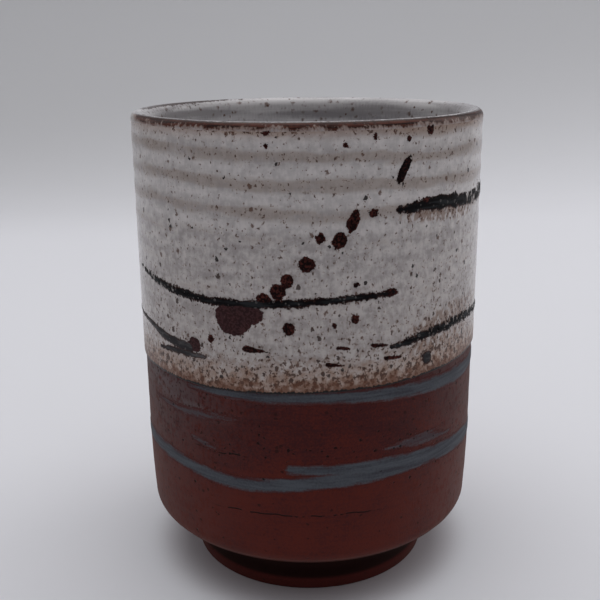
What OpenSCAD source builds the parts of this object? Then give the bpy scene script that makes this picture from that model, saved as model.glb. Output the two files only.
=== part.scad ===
// A hand-thrown yunomi: a straight tea cup on a turned foot, half dipped in speckled white glaze.
// The origin is at the centre of the foot, on the table. The front of the cup faces -Y, and angles
// round the wall are degrees from the front, positive towards +X.

/* [Body] */
// Height of the cup from the table to the crest of the lip
cup_height = 104; // [96:1:130]
// Outside diameter of the bare clay wall
body_diameter = 76.2; // [68:0.2:90]
// Thickness of the clay wall
wall_thickness = 3; // [2:0.1:5]
// Radius of the outer shoulder of the lip; the inner side takes the rest of the wall
lip_shoulder = 1.1; // [0.8:0.1:1.6]
// Thickness of the clay floor over the foot
floor_thickness = 5; // [3:0.5:8]
// Radius of the corner between the floor and the wall, inside
well_radius = 12; // [4:0.5:20]
// Height at which the wall turns under
heel_height = 15.5; // [14:0.5:22]
// Radius of the turned corner below the wall
heel_radius = 3.6; // [1:0.2:6]

/* [Foot] */
// Height of the foot ring
foot_height = 6.4; // [3:0.2:8]
// Diameter of the foot ring on the table
foot_diameter = 55; // [52:0.2:64]
// Diameter of the neck, where the foot ring meets the floor
neck_diameter = 51.6; // [48:0.2:60]
// Width of the foot ring on the table
foot_ring_width = 5.2; // [3:0.2:9]
// Width of the foot ring at the neck
neck_ring_width = 3.8; // [2:0.2:9]
// Bevel of the foot ring's edges on the table
foot_bevel = 0.5; // [0.2:0.1:1]

/* [Glaze] */
// Thickness of the glaze coats
glaze_thickness = 0.35; // [0.1:0.05:0.8]
// Height of the dip line at the front of the cup
dip_height = 51.5; // [46:0.5:58]
// Slant of the dip line, rising towards +X, in degrees
dip_tilt = 1.8; // [0:0.2:4]
// How far the brown rim band reaches down the wall below the shoulder of the lip
rim_band = 0.2; // [0.2:0.1:3]
// How far the brown rim band climbs over the lip, in degrees from the wall
rim_climb = 60; // [20:5:85]

/* [Brushwork] */
// Thickness of the grey slip on the clay
slip_thickness = 0.12; // [0.05:0.01:0.25]
// Thickness of the dark strokes on the glaze
stroke_thickness = 0.15; // [0.05:0.01:0.4]
// Thickness of the iron drops on the glaze
splash_thickness = 0.2; // [0.05:0.01:0.5]
// Clearance between marks that lie side by side
mark_gap = 0.2; // [0.1:0.05:0.5]

/* [Hidden] */
$fn = 128;

body_r = body_diameter / 2;
glaze_r = body_r + glaze_thickness;
inner_r = body_r - wall_thickness;
foot_r = foot_diameter / 2;
neck_r = neck_diameter / 2;
foot_inner_r = foot_r - foot_ring_width;
floor_top = foot_height + floor_thickness;
lip_inside = wall_thickness - lip_shoulder;
crest_r = body_r - lip_shoulder;
crest_height = cup_height - glaze_thickness;
shoulder_centre = [crest_r, crest_height - lip_shoulder];
inside_centre = [crest_r, crest_height - lip_inside];
rim_bottom = shoulder_centre.y - rim_band;
well_centre = [inner_r - well_radius, floor_top + well_radius];
heel_centre = [body_r - heel_radius, heel_height];

// The underside runs from the neck as a tangent to the heel's arc
neck_to_heel = heel_centre - [neck_r, foot_height];
underside_slope = atan2(neck_to_heel.y, neck_to_heel.x) - asin(heel_radius / norm(neck_to_heel));

arc_steps = 12;
foot_flare_steps = 12;
// The foot keeps its width up to the first share of its height, and is at the neck by the second
flare_from = 0.25;
flare_to = 0.7;

// Brush marks: angle between the rings of a strip, width of a brush tip, and crown of a strip
strip_step = 4;
tip_width = 0.2;
crown_share = 0.7;
drop_steps = 8;

// Heights in the bare zone are shares of the clay between the heel and the dip line
bare_height = dip_height - heel_height;
// Marks on the lower glaze are placed above the dip line, and those near the lip below the rim band
function above_dip(rise) = dip_height + rise;
function below_rim(drop) = rim_bottom - drop;
function on_clay(share) = heel_height + share * bare_height;
function dip_at(angle) = dip_height + body_r * tan(dip_tilt) * sin(angle);

// Strokes: first and last angle, then heights and widths at equal steps between them
long_span = [-70, 26.5];
long_rises = [20.3, 18.8, 18.1, 18, 18.6, 19.4, 19.6];
long_widths = [0.4, 1.2, 1.6, 1.7, 1.6, 1.4, 0.6];

upper_right_span = [26, 120];
upper_right_drops = [15.5, 14.4, 15.2, 15.1, 15.2, 15.4, 15.6];
upper_right_widths = [0.5, 2.4, 2.6, 3, 2.4, 1.5, 0.4];

lower_right_span = [24.5, 105];
lower_right_rises = [8.7, 9.2, 10, 10.2, 9.5, 9];
lower_right_widths = [0.5, 2, 2.1, 1.9, 1.2, 0.4];

lower_left_span = [-110, -40];
lower_left_rises = [8.5, 9.2, 9.4, 8.2, 7];
lower_left_widths = [0.4, 1.2, 1.7, 1.7, 0.8];
prong_span = [-54, -32];
prong_rises = [5.4, 5.5, 5.4];
prong_widths = [0.3, 0.9, 0.4];

upper_band_span = [-45, 180];
upper_band_drops = [1.1, 1.2, 1.4, 2.5, 3.5, 3.7, 4.2, 4.6, 4.6, 4.6];
upper_band_widths = [0.4, 1.4, 1.7, 2.5, 3.2, 2.7, 2.2, 1.8, 1.2, 0.3];

lower_band_span = [-7, 367];
lower_band_shares = [0.545, 0.505, 0.486, 0.43, 0.41, 0.41, 0.42, 0.43, 0.44, 0.45, 0.46, 0.417, 0.455];
lower_band_widths = [0.6, 3.4, 3.2, 2.8, 2.6, 2.6, 2.6, 2.6, 2.6, 2.6, 2.6, 2.4, 0.6];

// Wisps of slip: first and last angles, heights as shares of the bare zone, and widths
wisp_spans = [[-62, -22.5], [-40, -30], [24, 53]];
wisp_shares = [[0.786, 0.78, 0.797, 0.811], [0.629, 0.615, 0.6], [0.618, 0.624, 0.583]];
wisp_widths = [[0.4, 1.2, 1, 0.3], [0.4, 1.4, 0.3], [0.3, 0.9, 0.3]];

// Dabs of the brush, each placed by its angle and its height above the dip line
dab_angles = [-15.3, 10.2, 7.8, 25.8, 21.2, 38.9];
dab_rises = [8.6, 9.2, 5.8, 6.1, 9.1, 4.4];
dab_lengths = [5.7, 2.8, 3.8, 4.2, 3.6, 2.4];
dab_widths = [0.8, 0.6, 0.7, 0.7, 0.6, 2.6];

// Iron drops, each placed by its angle and its height above the dip line
drop_angles = [-36.2, -30, -5.6, 7.5, 13.7, 13.9, -5.4, -0.3, 3.6, 9, 12.9, 18.8];
drop_rises = [8, 9.6, 13.2, 13.9, 15, 21.8, 23.6, 26.1, 31, 30.5, 34.1, 35.5];
drop_widths = [2.4, 1.2, 2.4, 0.9, 1.7, 1, 2.6, 3.2, 2, 2.8, 2.6, 1.8];
drop_talls = [3, 1.2, 2.2, 0.9, 1.9, 1, 2.2, 3, 2, 3, 3.8, 1.6];
drop_slants = [0, 0, 0, 0, 0, 0, 0, 0, 0, 0.3, 0.8, 0];

// Iron drops near the lip, each placed by its angle and its distance below the rim band
rim_drop_angles = [28.3, 37.5, 29.9, 10.6, -11.2];
rim_drop_drops = [7.7, 1.5, 2, 2.6, 2.6];
rim_drop_widths = [3.2, 1.6, 1.1, 1, 1];
rim_drop_talls = [2.6, 2.4, 1.1, 1, 1];
rim_drop_slants = [2, 0, 0, 0, 0];

// The blotch hangs under the long stroke, and two drops sit on the stroke
blotch_angle = -21;
blotch_width = 10.4;
blotch_tall = 6.6;
seated_angles = [-13, -9];
seated_widths = [2.2, 3];
seated_talls = [1.4, 2.4];

function arc(centre, radius, from, to) = [
    for (i = [0:arc_steps])
        let (a = from + (to - from) * i / arc_steps)
        centre + radius * [cos(a), sin(a)]
];

// Smooth curve through equally spaced values, at a share t of their length
function spline(values, t) =
    let (
        last = len(values) - 1,
        i = min(floor(t * last), last - 1),
        f = t * last - i,
        a = values[max(i - 1, 0)],
        b = values[i],
        c = values[i + 1],
        d = values[min(i + 2, last)]
    )
    b + f / 2 * (c - a + f * (2 * a - 5 * b + 4 * c - d + f * (3 * (b - c) + d - a)));

function after_first(points) = [for (i = [1:len(points) - 1]) points[i]];

// Section of the lip over its crest, moved out by a coat: from an angle on its shoulder to the inside
function lip_line(coat, from) = concat(
    arc(shoulder_centre, lip_shoulder + coat, from, 90),
    after_first(arc(inside_centre, lip_inside + coat, 90, 180))
);

function wall_point(angle, radius, height) = [radius * sin(angle), -radius * cos(angle), height];
function wall_angle(length) = length / glaze_r * 180 / PI;
function span_share(span, angle) = (angle - span[0]) / (span[1] - span[0]);
function long_height(angle) = above_dip(spline(long_rises, span_share(long_span, angle)));
function long_half_width(angle) = spline(long_widths, span_share(long_span, angle)) / 2;

// Inside line of the clay from the wall's top down to the axis, moved in by a coat
function inside_line(coat) = concat(
    arc(well_centre, well_radius - coat, 0, -90),
    [[0, floor_top + coat]]
);

// Outside line of the clay from the axis to the wall, under the floor and round the heel
function underside_line() = concat(
    [[0, foot_height], [neck_r, foot_height]],
    arc(heel_centre, heel_radius, underside_slope - 90, 0)
);

module ring_of(points) {
    rotate_extrude() polygon(points);
}

// A brushed strip on the wall, with a flat base on the given radius and a narrower crown
module strip(span, heights, widths, radius, thickness, least_steps = 2) {
    steps = max(least_steps, ceil((span[1] - span[0]) / strip_step));
    base_r = radius / cos(strip_step / 2);
    points = [
        for (i = [0:steps])
            let (
                t = i / steps,
                angle = span[0] + (span[1] - span[0]) * t,
                height = spline(heights, t),
                half = max(spline(widths, t), tip_width) / 2
            )
            each [
                wall_point(angle, base_r, height - half),
                wall_point(angle, base_r, height + half),
                wall_point(angle, base_r + thickness, height + half * crown_share),
                wall_point(angle, base_r + thickness, height - half * crown_share)
            ]
    ];
    sides = [
        for (i = [0:steps - 1], j = [0:3])
            let (
                a = 4 * i + j,
                b = 4 * i + (j + 1) % 4
            )
            each [[a, a + 4, b + 4], [a, b + 4, b]]
    ];
    end = 4 * steps;
    caps = [[0, 1, 2], [0, 2, 3], [end, end + 2, end + 1], [end, end + 3, end + 2]];
    polyhedron(points, concat(sides, caps));
}

// A low drop on the glaze: an oval strip, whose axis climbs by the slant on either side
module drop(angle, height, across, tall, slant) {
    half_angle = wall_angle(across / 2);
    shares = [for (i = [0:drop_steps]) 2 * i / drop_steps - 1];
    strip(
        [angle - half_angle, angle + half_angle],
        [for (t = shares) height + slant * t],
        [for (t = shares) tall * sqrt(1 - t * t)],
        glaze_r,
        splash_thickness,
        drop_steps
    );
}

module thrown_body() {
    color("#5a2c27")
    ring_of(concat(underside_line(), lip_line(0, 0), inside_line(0)));
}

module foot_ring() {
    flare = [
        for (i = [0:foot_flare_steps])
            let (
                t = i / foot_flare_steps,
                s = min(max((t - flare_from) / (flare_to - flare_from), 0), 1)
            )
            [foot_r + (neck_r - foot_r) * s * s * (3 - 2 * s), foot_bevel + (foot_height - foot_bevel) * t]
    ];
    color("#4a231f")
    ring_of(concat(
        [[foot_inner_r, foot_bevel], [foot_inner_r + foot_bevel, 0], [foot_r - foot_bevel, 0]],
        flare,
        [[neck_r - neck_ring_width, foot_height]]
    ));
}

module liner_glaze() {
    bare = concat(lip_line(0, rim_climb), inside_line(0));
    color("#b4aeaa")
    ring_of(concat(
        lip_line(glaze_thickness, rim_climb),
        inside_line(glaze_thickness),
        [for (i = [len(bare) - 1:-1:0]) bare[i]]
    ));
}

module outer_glaze() {
    cut = 2 * body_diameter;
    lowest = dip_at(-90) - glaze_thickness;
    color("#c9c2be")
    difference() {
        ring_of([
            [body_r, lowest], [glaze_r, lowest],
            [glaze_r, rim_bottom], [body_r, rim_bottom]
        ]);
        translate([0, 0, dip_height])
            rotate([0, -dip_tilt, 0])
                translate([-cut / 2, -cut / 2, -cut])
                    cube(cut);
    }
}

module iron_rim() {
    color("#5d3a2c")
    ring_of(concat(
        [[body_r, rim_bottom], [glaze_r, rim_bottom]],
        arc(shoulder_centre, lip_shoulder + glaze_thickness, 0, rim_climb),
        arc(shoulder_centre, lip_shoulder, rim_climb, 0)
    ));
}

module upper_slip_band() {
    last = len(upper_band_drops) - 1;
    heights = [
        for (i = [0:last])
            dip_at(upper_band_span[0] + (upper_band_span[1] - upper_band_span[0]) * i / last)
                - upper_band_drops[i]
    ];
    color("#4b4f58")
    strip(upper_band_span, heights, upper_band_widths, body_r, slip_thickness);
}

module lower_slip_band() {
    color("#4b4f58")
    strip(
        lower_band_span,
        [for (share = lower_band_shares) on_clay(share)],
        lower_band_widths,
        body_r,
        slip_thickness
    );
}

module slip_wisps() {
    color("#5a4a4c")
    for (i = [0:len(wisp_spans) - 1])
        strip(
            wisp_spans[i],
            [for (share = wisp_shares[i]) on_clay(share)],
            wisp_widths[i],
            body_r,
            slip_thickness
        );
}

module long_stroke() {
    color("#1d1a1b")
    strip(
        long_span,
        [for (rise = long_rises) above_dip(rise)],
        long_widths,
        glaze_r,
        stroke_thickness
    );
}

module upper_right_stroke() {
    color("#1d1a1b")
    strip(
        upper_right_span,
        [for (drop = upper_right_drops) below_rim(drop)],
        upper_right_widths,
        glaze_r,
        stroke_thickness
    );
}

module lower_right_stroke() {
    color("#1d1a1b")
    strip(
        lower_right_span,
        [for (rise = lower_right_rises) above_dip(rise)],
        lower_right_widths,
        glaze_r,
        stroke_thickness
    );
}

module lower_left_stroke() {
    color("#1d1a1b") {
        strip(
            lower_left_span,
            [for (rise = lower_left_rises) above_dip(rise)],
            lower_left_widths,
            glaze_r,
            stroke_thickness
        );
        strip(
            prong_span,
            [for (rise = prong_rises) above_dip(rise)],
            prong_widths,
            glaze_r,
            stroke_thickness
        );
    }
}

module short_dashes() {
    color("#4a3a33")
    for (i = [0:len(dab_angles) - 1])
        let (half_angle = wall_angle(dab_lengths[i] / 2))
        strip(
            [dab_angles[i] - half_angle, dab_angles[i] + half_angle],
            [above_dip(dab_rises[i]), above_dip(dab_rises[i])],
            [tip_width, dab_widths[i], dab_widths[i], tip_width],
            glaze_r,
            stroke_thickness,
            drop_steps
        );
}

module iron_splashes() {
    color("#4a2018") {
        for (i = [0:len(drop_angles) - 1])
            drop(drop_angles[i], above_dip(drop_rises[i]), drop_widths[i], drop_talls[i], drop_slants[i]);
        for (i = [0:len(rim_drop_angles) - 1])
            drop(
                rim_drop_angles[i],
                below_rim(rim_drop_drops[i]),
                rim_drop_widths[i],
                rim_drop_talls[i],
                rim_drop_slants[i]
            );
        drop(
            blotch_angle,
            long_height(blotch_angle) - long_half_width(blotch_angle) - mark_gap - blotch_tall / 2,
            blotch_width,
            blotch_tall,
            0
        );
        for (i = [0:len(seated_angles) - 1])
            let (angle = seated_angles[i])
            drop(
                angle,
                long_height(angle) + long_half_width(angle) + mark_gap + seated_talls[i] / 2,
                seated_widths[i],
                seated_talls[i],
                0
            );
    }
}

thrown_body();
foot_ring();
liner_glaze();
outer_glaze();
iron_rim();
upper_slip_band();
lower_slip_band();
slip_wisps();
long_stroke();
upper_right_stroke();
lower_right_stroke();
lower_left_stroke();
short_dashes();
iron_splashes();
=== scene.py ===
# %% [markdown]
# # A hand-thrown yunomi
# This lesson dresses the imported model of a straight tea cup: red stoneware below, a speckled white
# glaze above, and quick brushwork over both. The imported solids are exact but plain. Each of them is
# replaced here by a finer mesh in the same place, with a material made only of shader nodes.

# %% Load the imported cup
import bmesh
import bpy
import math
from mathutils import Matrix, Vector, noise


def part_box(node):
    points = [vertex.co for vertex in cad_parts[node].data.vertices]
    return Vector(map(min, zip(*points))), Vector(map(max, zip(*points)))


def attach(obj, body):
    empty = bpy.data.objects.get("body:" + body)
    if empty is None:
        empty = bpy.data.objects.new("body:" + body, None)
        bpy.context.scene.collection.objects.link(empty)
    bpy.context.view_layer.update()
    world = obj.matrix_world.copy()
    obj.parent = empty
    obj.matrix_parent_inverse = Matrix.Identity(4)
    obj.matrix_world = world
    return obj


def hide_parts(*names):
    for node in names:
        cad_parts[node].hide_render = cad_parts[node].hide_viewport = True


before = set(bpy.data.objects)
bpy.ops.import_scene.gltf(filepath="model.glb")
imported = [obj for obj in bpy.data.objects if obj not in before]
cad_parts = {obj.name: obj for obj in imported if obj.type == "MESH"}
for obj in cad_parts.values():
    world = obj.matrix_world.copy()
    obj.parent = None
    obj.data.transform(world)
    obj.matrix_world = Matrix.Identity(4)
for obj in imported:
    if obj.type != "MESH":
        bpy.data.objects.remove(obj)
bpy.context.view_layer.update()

# %% [markdown]
# ## The camera
# The photograph was taken from close by and a little above the lip, so the rim reads as a flat
# ellipse and the sides draw in towards the foot. The place and the lens come from fitting the rim,
# the dip line and the foot to the picture. The camera is set first, so every later step can be
# checked against the photograph.

# %% Set the camera
CAMERA_PLACE = (0.0, -0.19867, 0.11768)
CAMERA_LENS = 52.786
CAMERA_NEAR = 0.01
CAMERA_PITCH = 73.669
CAMERA_YAW = 0.54
CAMERA_ROLL = -0.61

camera_data = bpy.data.cameras.new("camera")
camera_data.lens = CAMERA_LENS
camera_data.clip_start = CAMERA_NEAR
camera = bpy.data.objects.new("camera", camera_data)
bpy.context.collection.objects.link(camera)
camera.matrix_world = (
    Matrix.Translation(CAMERA_PLACE)
    @ Matrix.Rotation(math.radians(CAMERA_YAW), 4, "Z")
    @ Matrix.Rotation(math.radians(CAMERA_PITCH), 4, "X")
    @ Matrix.Rotation(math.radians(CAMERA_ROLL), 4, "Z")
)
bpy.context.scene.camera = camera
bpy.context.scene.view_settings.view_transform = "Standard"
print("camera", CAMERA_LENS, "mm, pitched", 90 - CAMERA_PITCH, "degrees down")

# %% [markdown]
# ## Sizes
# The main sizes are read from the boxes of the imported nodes, so the meshes follow the CAD if it is
# packed again. Lengths are in millimetres here and become metres only when a vertex is placed.
# Angles are degrees round the cup, from the front, and positive towards +X.

# %% Read the sizes from the frame
MM = 0.001


def size_of(node, corner, axis):
    """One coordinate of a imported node's box, in millimetres."""
    return round(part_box(node)[corner][axis] / MM, 3)


body_r = size_of("thrown_body", 1, 0)
glaze_r = size_of("outer_glaze", 1, 0)
foot_r = size_of("foot_ring", 1, 0)
foot_height = size_of("foot_ring", 1, 2)
cup_height = size_of("liner_glaze", 1, 2)
rim_bottom = size_of("outer_glaze", 1, 2)
coat = glaze_r - body_r
print("body", body_r, "glaze", glaze_r, "foot", foot_r, foot_height, "height", cup_height)

# %% Sizes that the boxes do not show
WALL = 3.0
LIP_SHOULDER = 1.1
FLOOR = 5.0
WELL_R = 12.0
HEEL_HEIGHT = 15.5
HEEL_R = 3.6
NECK_R = 25.8
DIP_HEIGHT = 51.5
DIP_TILT = 1.8
RIM_CLIMB = 60

inner_r = body_r - WALL
lip_inside = WALL - LIP_SHOULDER
crest = (body_r - LIP_SHOULDER, cup_height - coat)
shoulder_centre = (crest[0], crest[1] - LIP_SHOULDER)
inside_centre = (crest[0], crest[1] - lip_inside)
floor_top = foot_height + FLOOR
well_centre = (inner_r - WELL_R, floor_top + WELL_R)
heel_centre = (body_r - HEEL_R, HEEL_HEIGHT)
print("lip crest", crest, "floor top", floor_top)

# %% [markdown]
# ## The thrown wall
# Fingers leave shallow rings as the clay is pulled up, plainest under the lip. The clay, the glaze
# and the brush marks all have to follow the same rings, so one function gives the wall's shift at any
# angle and height. Low down the wall also leans in a little, where more clay was turned away. The
# shift only ever goes inwards, which keeps the cup inside its packed box.

# %% The rings of the wall
RING_PITCH = 5.35
RING_TOP = 97.6
RING_DEPTH = 0.1
RING_FADE = (78.0, 88.0)
RING_FAINT = 0.22
RING_DRIFT = 0.14
RING_DRIFT_WAVE = 16.0
RING_SEED = 3.0
WOBBLE_DEPTH = 0.05
WOBBLE_WAVE = 40.0
WOBBLE_SEED = 11.0
LEAN = 0.5
LEAN_FROM = 32.0
LIP_SAG = 0.2
LIP_SAG_FROM = 88.0
LIP_SAG_WAVE = 30.0
LIP_SAG_SEED = 23.0


def ease(value, low, high):
    """Smooth step from 0 at low to 1 at high."""
    share = min(max((value - low) / (high - low), 0.0), 1.0)
    return share * share * (3 - 2 * share)


def ripple(x, y, z=0.0):
    """Smooth noise between -1 and 1."""
    return noise.noise(Vector((x, y, z)))


def round_noise(angle, height, wave, seed):
    """Noise on the wall that closes on itself, with features about wave millimetres long."""
    turn = math.radians(angle)
    reach = body_r / wave
    return ripple(reach * math.sin(turn) + seed, -reach * math.cos(turn), height / wave)


def ring_ridge(angle, height):
    """1 on the crest of a throwing ring, 0 in the groove."""
    climb = (height - RING_TOP) / RING_PITCH + angle / 360
    drift = RING_DRIFT * round_noise(angle, height, RING_DRIFT_WAVE, RING_SEED)
    return 0.5 + 0.5 * math.cos(2 * math.pi * (climb + drift))


def ring_strength(height):
    """1 under the lip, where the rings are deepest, and less further down."""
    return RING_FAINT + (1 - RING_FAINT) * ease(height, *RING_FADE)


def wall_shift(angle, height):
    """How far the wall lies inside its nominal radius, as a number below zero."""
    groove = RING_DEPTH * ring_strength(height) * (1 - ring_ridge(angle, height))
    wobble = WOBBLE_DEPTH * (0.5 + 0.5 * round_noise(angle, height, WOBBLE_WAVE, WOBBLE_SEED))
    lean = min(max((LEAN_FROM - height) / (LEAN_FROM - HEEL_HEIGHT), 0.0), 1.0)
    return -groove - wobble - LEAN * lean * lean


def lip_sag(angle, height):
    """How far the lip dips below a flat rim."""
    low = 0.5 + 0.5 * round_noise(angle, 0.0, LIP_SAG_WAVE, LIP_SAG_SEED)
    return -LIP_SAG * low * ease(height, LIP_SAG_FROM, cup_height)


print("wall shift at the front, mm:", [round(wall_shift(0, z), 3) for z in (40, 60, 80, 90, 95)])

# %% [markdown]
# ## Turning a profile
# Everything but the brushwork is turned on a wheel, so each of those pieces is a closed profile that
# bmesh spins round the Z axis. An eighth of a turn is spun and then doubled three times, which is much
# quicker than one long spin. The doubles on the seams and on the axis are merged before the normals
# are recalculated. After that each vertex is moved to follow the rings and the lip.

# %% Profile and spin helpers
MERGE = 1e-7


def arc(centre, radius, start, stop, steps):
    """Points on an arc, as (radius, height) pairs."""
    points = []
    for step in range(steps + 1):
        turn = math.radians(start + (stop - start) * step / steps)
        points.append((centre[0] + radius * math.cos(turn), centre[1] + radius * math.sin(turn)))
    return points


def line(start, stop, spacing):
    """Points from start up to, but without, stop, about spacing apart."""
    steps = max(1, math.ceil(math.dist(start, stop) / spacing))
    return [
        (start[0] + (stop[0] - start[0]) * i / steps, start[1] + (stop[1] - start[1]) * i / steps)
        for i in range(steps)
    ]


def lip(offset, start, steps):
    """The lip from its outer shoulder, over the crest, to the inside of the wall."""
    outside = arc(shoulder_centre, LIP_SHOULDER + offset, start, 90, steps)
    return outside[:-1] + arc(inside_centre, lip_inside + offset, 90, 180, steps)


def wall_point(angle, radius, height):
    """A point in metres, from its angle, radius and height."""
    turn = math.radians(angle)
    return Vector((radius * math.sin(turn), -radius * math.cos(turn), height)) * MM


def wall_place(point):
    """Angle, radius and height of a point in metres."""
    angle = math.degrees(math.atan2(point.x, -point.y))
    return angle, math.hypot(point.x, point.y) / MM, point.z / MM


def spun(profile, eighth, closed=True):
    """Spin a profile of (radius, height) pairs round the axis, with so many steps in an eighth turn."""
    bm = bmesh.new()
    verts = [bm.verts.new(wall_point(180, radius, height)) for radius, height in profile]
    edges = [bm.edges.new(pair) for pair in zip(verts, verts[1:])]
    if closed:
        edges.append(bm.edges.new((verts[-1], verts[0])))
    bmesh.ops.spin(
        bm, geom=verts + edges, cent=(0, 0, 0), axis=(0, 0, 1), angle=math.pi / 4, steps=eighth,
    )
    for turn in (math.pi / 4, math.pi / 2, math.pi):
        made = bmesh.ops.duplicate(bm, geom=bm.verts[:] + bm.edges[:] + bm.faces[:])["geom"]
        copies = [item for item in made if isinstance(item, bmesh.types.BMVert)]
        bmesh.ops.rotate(bm, verts=copies, cent=(0, 0, 0), matrix=Matrix.Rotation(turn, 3, "Z"))
    bmesh.ops.remove_doubles(bm, verts=bm.verts, dist=MERGE)
    bmesh.ops.recalc_face_normals(bm, faces=bm.faces)
    return bm


print("lip points:", len(lip(coat, RIM_CLIMB, 6)))

# %% Turn a bmesh into a piece of the cup
SHARP_ANGLE = 50


def dress(bm, name, nodes, slot, *finishes):
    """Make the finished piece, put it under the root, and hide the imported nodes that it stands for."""
    mesh = bpy.data.meshes.new(name)
    bm.to_mesh(mesh)
    bm.free()
    mesh.shade_smooth()
    mesh.set_sharp_from_angle(angle=math.radians(SHARP_ANGLE))
    for finish in finishes:
        mesh.materials.append(finish)
    piece = bpy.data.objects.new(name, mesh)
    bpy.context.collection.objects.link(piece)
    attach(piece, "root")
    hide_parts(*nodes)
    triangles = sum(len(polygon.vertices) - 2 for polygon in mesh.polygons)
    print(name, "triangles:", triangles)


# %% [markdown]
# ## Shader maths
# Materials are easier to read as sums than as boxes and wires. The class below wraps one socket, so
# `1 - mask` adds a Math node. Every other node comes from one method, which first sets what the node
# is and then links its sockets.

# %% Sockets that take part in sums
class Socket:
    """An output of a shader node."""

    def __init__(self, finish, link):
        self.finish = finish
        self.link = link

    def also(self, name):
        """Another output of the same node."""
        return Socket(self.finish, self.link.node.outputs[name])

    def sum(self, operation, first, second):
        return self.finish.add("ShaderNodeMath", {"operation": operation}, {0: first, 1: second})

    def __add__(self, other):
        return self.sum("ADD", self, other)

    def __radd__(self, other):
        return self.sum("ADD", other, self)

    def __sub__(self, other):
        return self.sum("SUBTRACT", self, other)

    def __rsub__(self, other):
        return self.sum("SUBTRACT", other, self)

    def __mul__(self, other):
        return self.sum("MULTIPLY", self, other)

    def __rmul__(self, other):
        return self.sum("MULTIPLY", other, self)

    def __gt__(self, other):
        return self.sum("GREATER_THAN", self, other)

    def __abs__(self):
        return self.sum("ABSOLUTE", self, 0.0)


def shade(red, green, blue):
    """A colour as a screen shows it, from 0 to 255, turned into linear light."""
    linear = []
    for part in (red, green, blue):
        part = part / 255
        linear.append(part / 12.92 if part <= 0.04045 else ((part + 0.055) / 1.055) ** 2.4)
    return (*linear, 1.0)


# %% A finish made of nodes
SPECK_LEAST = 0.4


class Finish:
    """One procedural material of the cup, or the light all round it."""

    def __init__(self, name, kind="materials"):
        self.owner = getattr(bpy.data, kind).new(name)
        self.owner.use_nodes = True
        self.tree = self.owner.node_tree
        self.tree.nodes.clear()

    def add(self, kind, settings=None, values=None, output=0):
        """Add a node, set it up, fill its sockets and hand back one of its outputs."""
        node = self.tree.nodes.new(kind)
        for name, setting in (settings or {}).items():
            setattr(node, name, setting)
        for key, value in (values or {}).items():
            if isinstance(value, Socket):
                self.tree.links.new(value.link, node.inputs[key])
            else:
                node.inputs[key].default_value = value
        return Socket(self, node.outputs[output])

    def place(self, across=1.0, upright=1.0):
        """Object coordinates in millimetres, squeezed round or up the cup."""
        metres = self.add("ShaderNodeTexCoord", output="Object")
        return self.add(
            "ShaderNodeVectorMath", {"operation": "MULTIPLY"},
            {0: metres, 1: (across / MM, across / MM, upright / MM)},
        )

    def height(self):
        """Height above the table in millimetres."""
        return self.add("ShaderNodeSeparateXYZ", None, {0: self.place()}, output="Z")

    def stirred(self, place, size, reach):
        """Places pushed about by noise, so that round specks turn ragged."""
        push = self.add("ShaderNodeTexNoise", None, {"Vector": place, "Scale": 1 / size}, output="Color")
        return self.add(
            "ShaderNodeVectorMath", {"operation": "MULTIPLY_ADD"}, {0: push, 1: (reach,) * 3, 2: place},
        )

    def cloud(self, place, size, detail=2.0, roughness=0.5):
        """Noise with features about size millimetres wide, mostly from 0.3 to 0.7."""
        return self.add(
            "ShaderNodeTexNoise", None,
            {"Vector": place, "Scale": 1 / size, "Detail": detail, "Roughness": roughness},
        )

    def step(self, value, low, high):
        """Smooth step of a value from 0 at low to 1 at high."""
        return self.add(
            "ShaderNodeMapRange", {"interpolation_type": "SMOOTHSTEP"},
            {"Value": value, "From Min": low, "From Max": high},
        )

    def specks(self, place, size, amount, widest=0.4, soft=0.12):
        """Specks in cells of size millimetres; amount is the share of cells that hold one."""
        cells = self.add("ShaderNodeTexVoronoi", None, {"Vector": place, "Scale": 1 / size})
        chance = self.add("ShaderNodeSeparateColor", None, {"Color": cells.also("Color")})
        reach = chance.also("Green") * ((1 - SPECK_LEAST) * widest) + SPECK_LEAST * widest
        return self.step(reach - cells, 0.0, soft) * (chance + amount > 1.0)

    def blend(self, share, first, second):
        """Mix two colours by a share."""
        return self.add(
            "ShaderNodeMix", {"data_type": "RGBA"}, {0: share, 6: first, 7: second}, output=2,
        )

    def mark(self, name):
        """A value that the mesh carries at its vertices."""
        return self.add(
            "ShaderNodeAttribute", {"attribute_type": "GEOMETRY", "attribute_name": name},
            output="Fac",
        )

    def relief(self, height, depth):
        """A bump from a height between 0 and 1, depth millimetres deep."""
        return self.add(
            "ShaderNodeBump", None, {"Strength": 1.0, "Distance": depth * MM, "Height": height},
            output="Normal",
        )

    def surface(self, **sockets):
        """End the material in one Principled shader."""
        values = {name.replace("_", " "): value for name, value in sockets.items()}
        shader = self.add("ShaderNodeBsdfPrincipled", None, values)
        return self.end(shader, "ShaderNodeOutputMaterial")

    def end(self, shader, kind):
        """Link a shader to the output node, and hand back what owns the nodes."""
        output = self.tree.nodes.new(kind)
        self.tree.links.new(shader.link, output.inputs["Surface"])
        return self.owner


print("shader helpers ready")

# %% [markdown]
# ## The red clay body
# The lower half of the cup is bare stoneware, turned while leather hard. Its profile runs from the
# axis under the floor, out along the sloping underside, round the heel, up the wall, over the lip and
# back down inside. Only the bare zone is seen, so only that zone gets close rows of vertices.

# %% Spin the clay body
BODY_EIGHTH = 45
BARE_ROW = 0.7
HIDDEN_ROW = 6.0
BASE_ROW = 2.0
HEEL_ROW = 0.8
WELL_ROW = 4.0
HEEL_STEPS = 14
LIP_STEPS = 6
WELL_STEPS = 12
GLAZE_LAP = 2.0
JOIN = 1.0


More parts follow.
